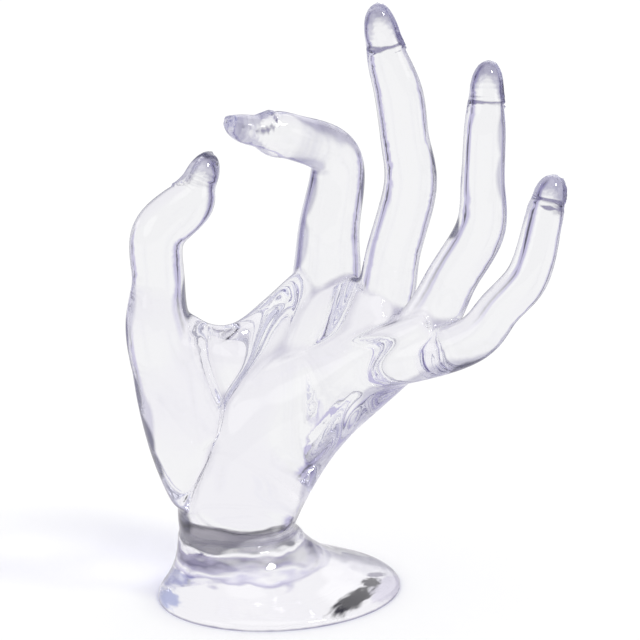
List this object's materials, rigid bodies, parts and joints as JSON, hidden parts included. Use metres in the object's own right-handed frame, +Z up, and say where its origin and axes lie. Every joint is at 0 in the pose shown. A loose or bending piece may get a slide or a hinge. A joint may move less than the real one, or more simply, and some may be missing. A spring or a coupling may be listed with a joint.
{
  "type": "hand jewelry stand",
  "caption": "Clear cast hand on a flared oval foot, palm to the front, index finger curled towards the thumb and the other fingers spread, for holding rings and bracelets.",
  "frame": {"origin": "centre of the foot's flat underside", "axes": "+Z up, along the fingers; the palm faces the front, -Y; the thumb is towards -X and the little finger towards +X"},
  "size_m": [0.1199, 0.066, 0.1686],
  "materials": {
    "clear_resin": "polished clear cast resin with a faint violet tint"
  },
  "bodies": {
    "root": {"hand_stand": "clear_resin"}
  },
  "joints": []
}
